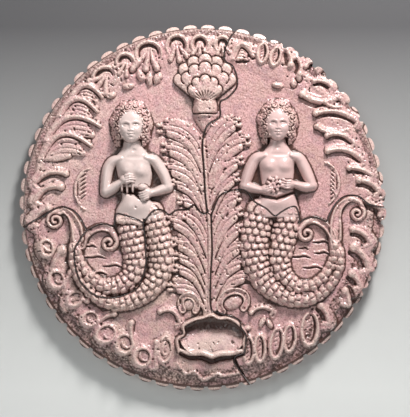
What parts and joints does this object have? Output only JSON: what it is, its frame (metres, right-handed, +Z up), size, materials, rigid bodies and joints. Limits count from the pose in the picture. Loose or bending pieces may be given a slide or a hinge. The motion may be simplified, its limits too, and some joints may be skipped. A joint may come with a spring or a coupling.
{
  "type": "ceramic wall plaque",
  "caption": "Round pink-glazed ceramic wall plaque in high relief: two mermaids beside a leafy stem, shells above and below, in a border of scrolls.",
  "frame": {"origin": "centre of the flat back, on the wall's surface", "axes": "+Z up on the wall, front towards -Y, +Y into the wall"},
  "size_m": [0.8996, 0.0699, 0.8996],
  "materials": {
    "pink_glaze": "glossy"
  },
  "bodies": {
    "root": {"upper_left_section": "pink_glaze", "left_sea_section": "pink_glaze", "lower_left_section": "pink_glaze", "upper_right_section": "pink_glaze", "lower_right_section": "pink_glaze"}
  },
  "joints": []
}
